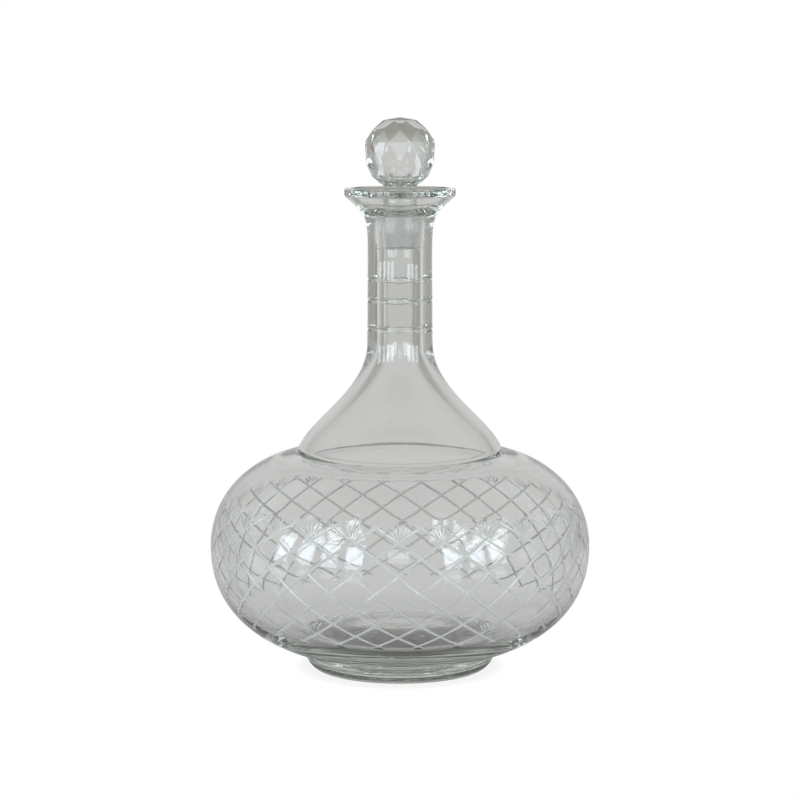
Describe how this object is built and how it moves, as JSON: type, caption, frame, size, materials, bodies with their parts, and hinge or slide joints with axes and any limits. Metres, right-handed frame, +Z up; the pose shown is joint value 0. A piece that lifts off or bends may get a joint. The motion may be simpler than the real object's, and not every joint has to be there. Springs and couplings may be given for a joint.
{
  "type": "wine decanter",
  "caption": "Squat cut glass wine decanter with a tall neck, a flared lip and a faceted ball stopper that lifts out of a ground socket.",
  "frame": {"origin": "centre of the plane that the foot rests on, on the axis of the bottle", "axes": "+Z up along the axis of the bottle, -Y towards the front, +X to the right"},
  "size_m": [0.1902, 0.1902, 0.2757],
  "materials": {
    "bottle_glass": "clear polished glass, cut with a diamond lattice on the shoulder",
    "foot_glass": "clear polished glass, faintly green where it is thick",
    "stopper_glass": "clear glass with polished facets and a ground plug"
  },
  "bodies": {
    "bottle": {"vessel": "bottle_glass", "foot": "foot_glass"},
    "stopper": {"stopper": "stopper_glass"}
  },
  "joints": [
    {"name": "stopper_lift", "type": "slide", "parent": "bottle", "child": "stopper", "axis": [0, 0, 1], "range_m": [0, 0.06]}
  ]
}
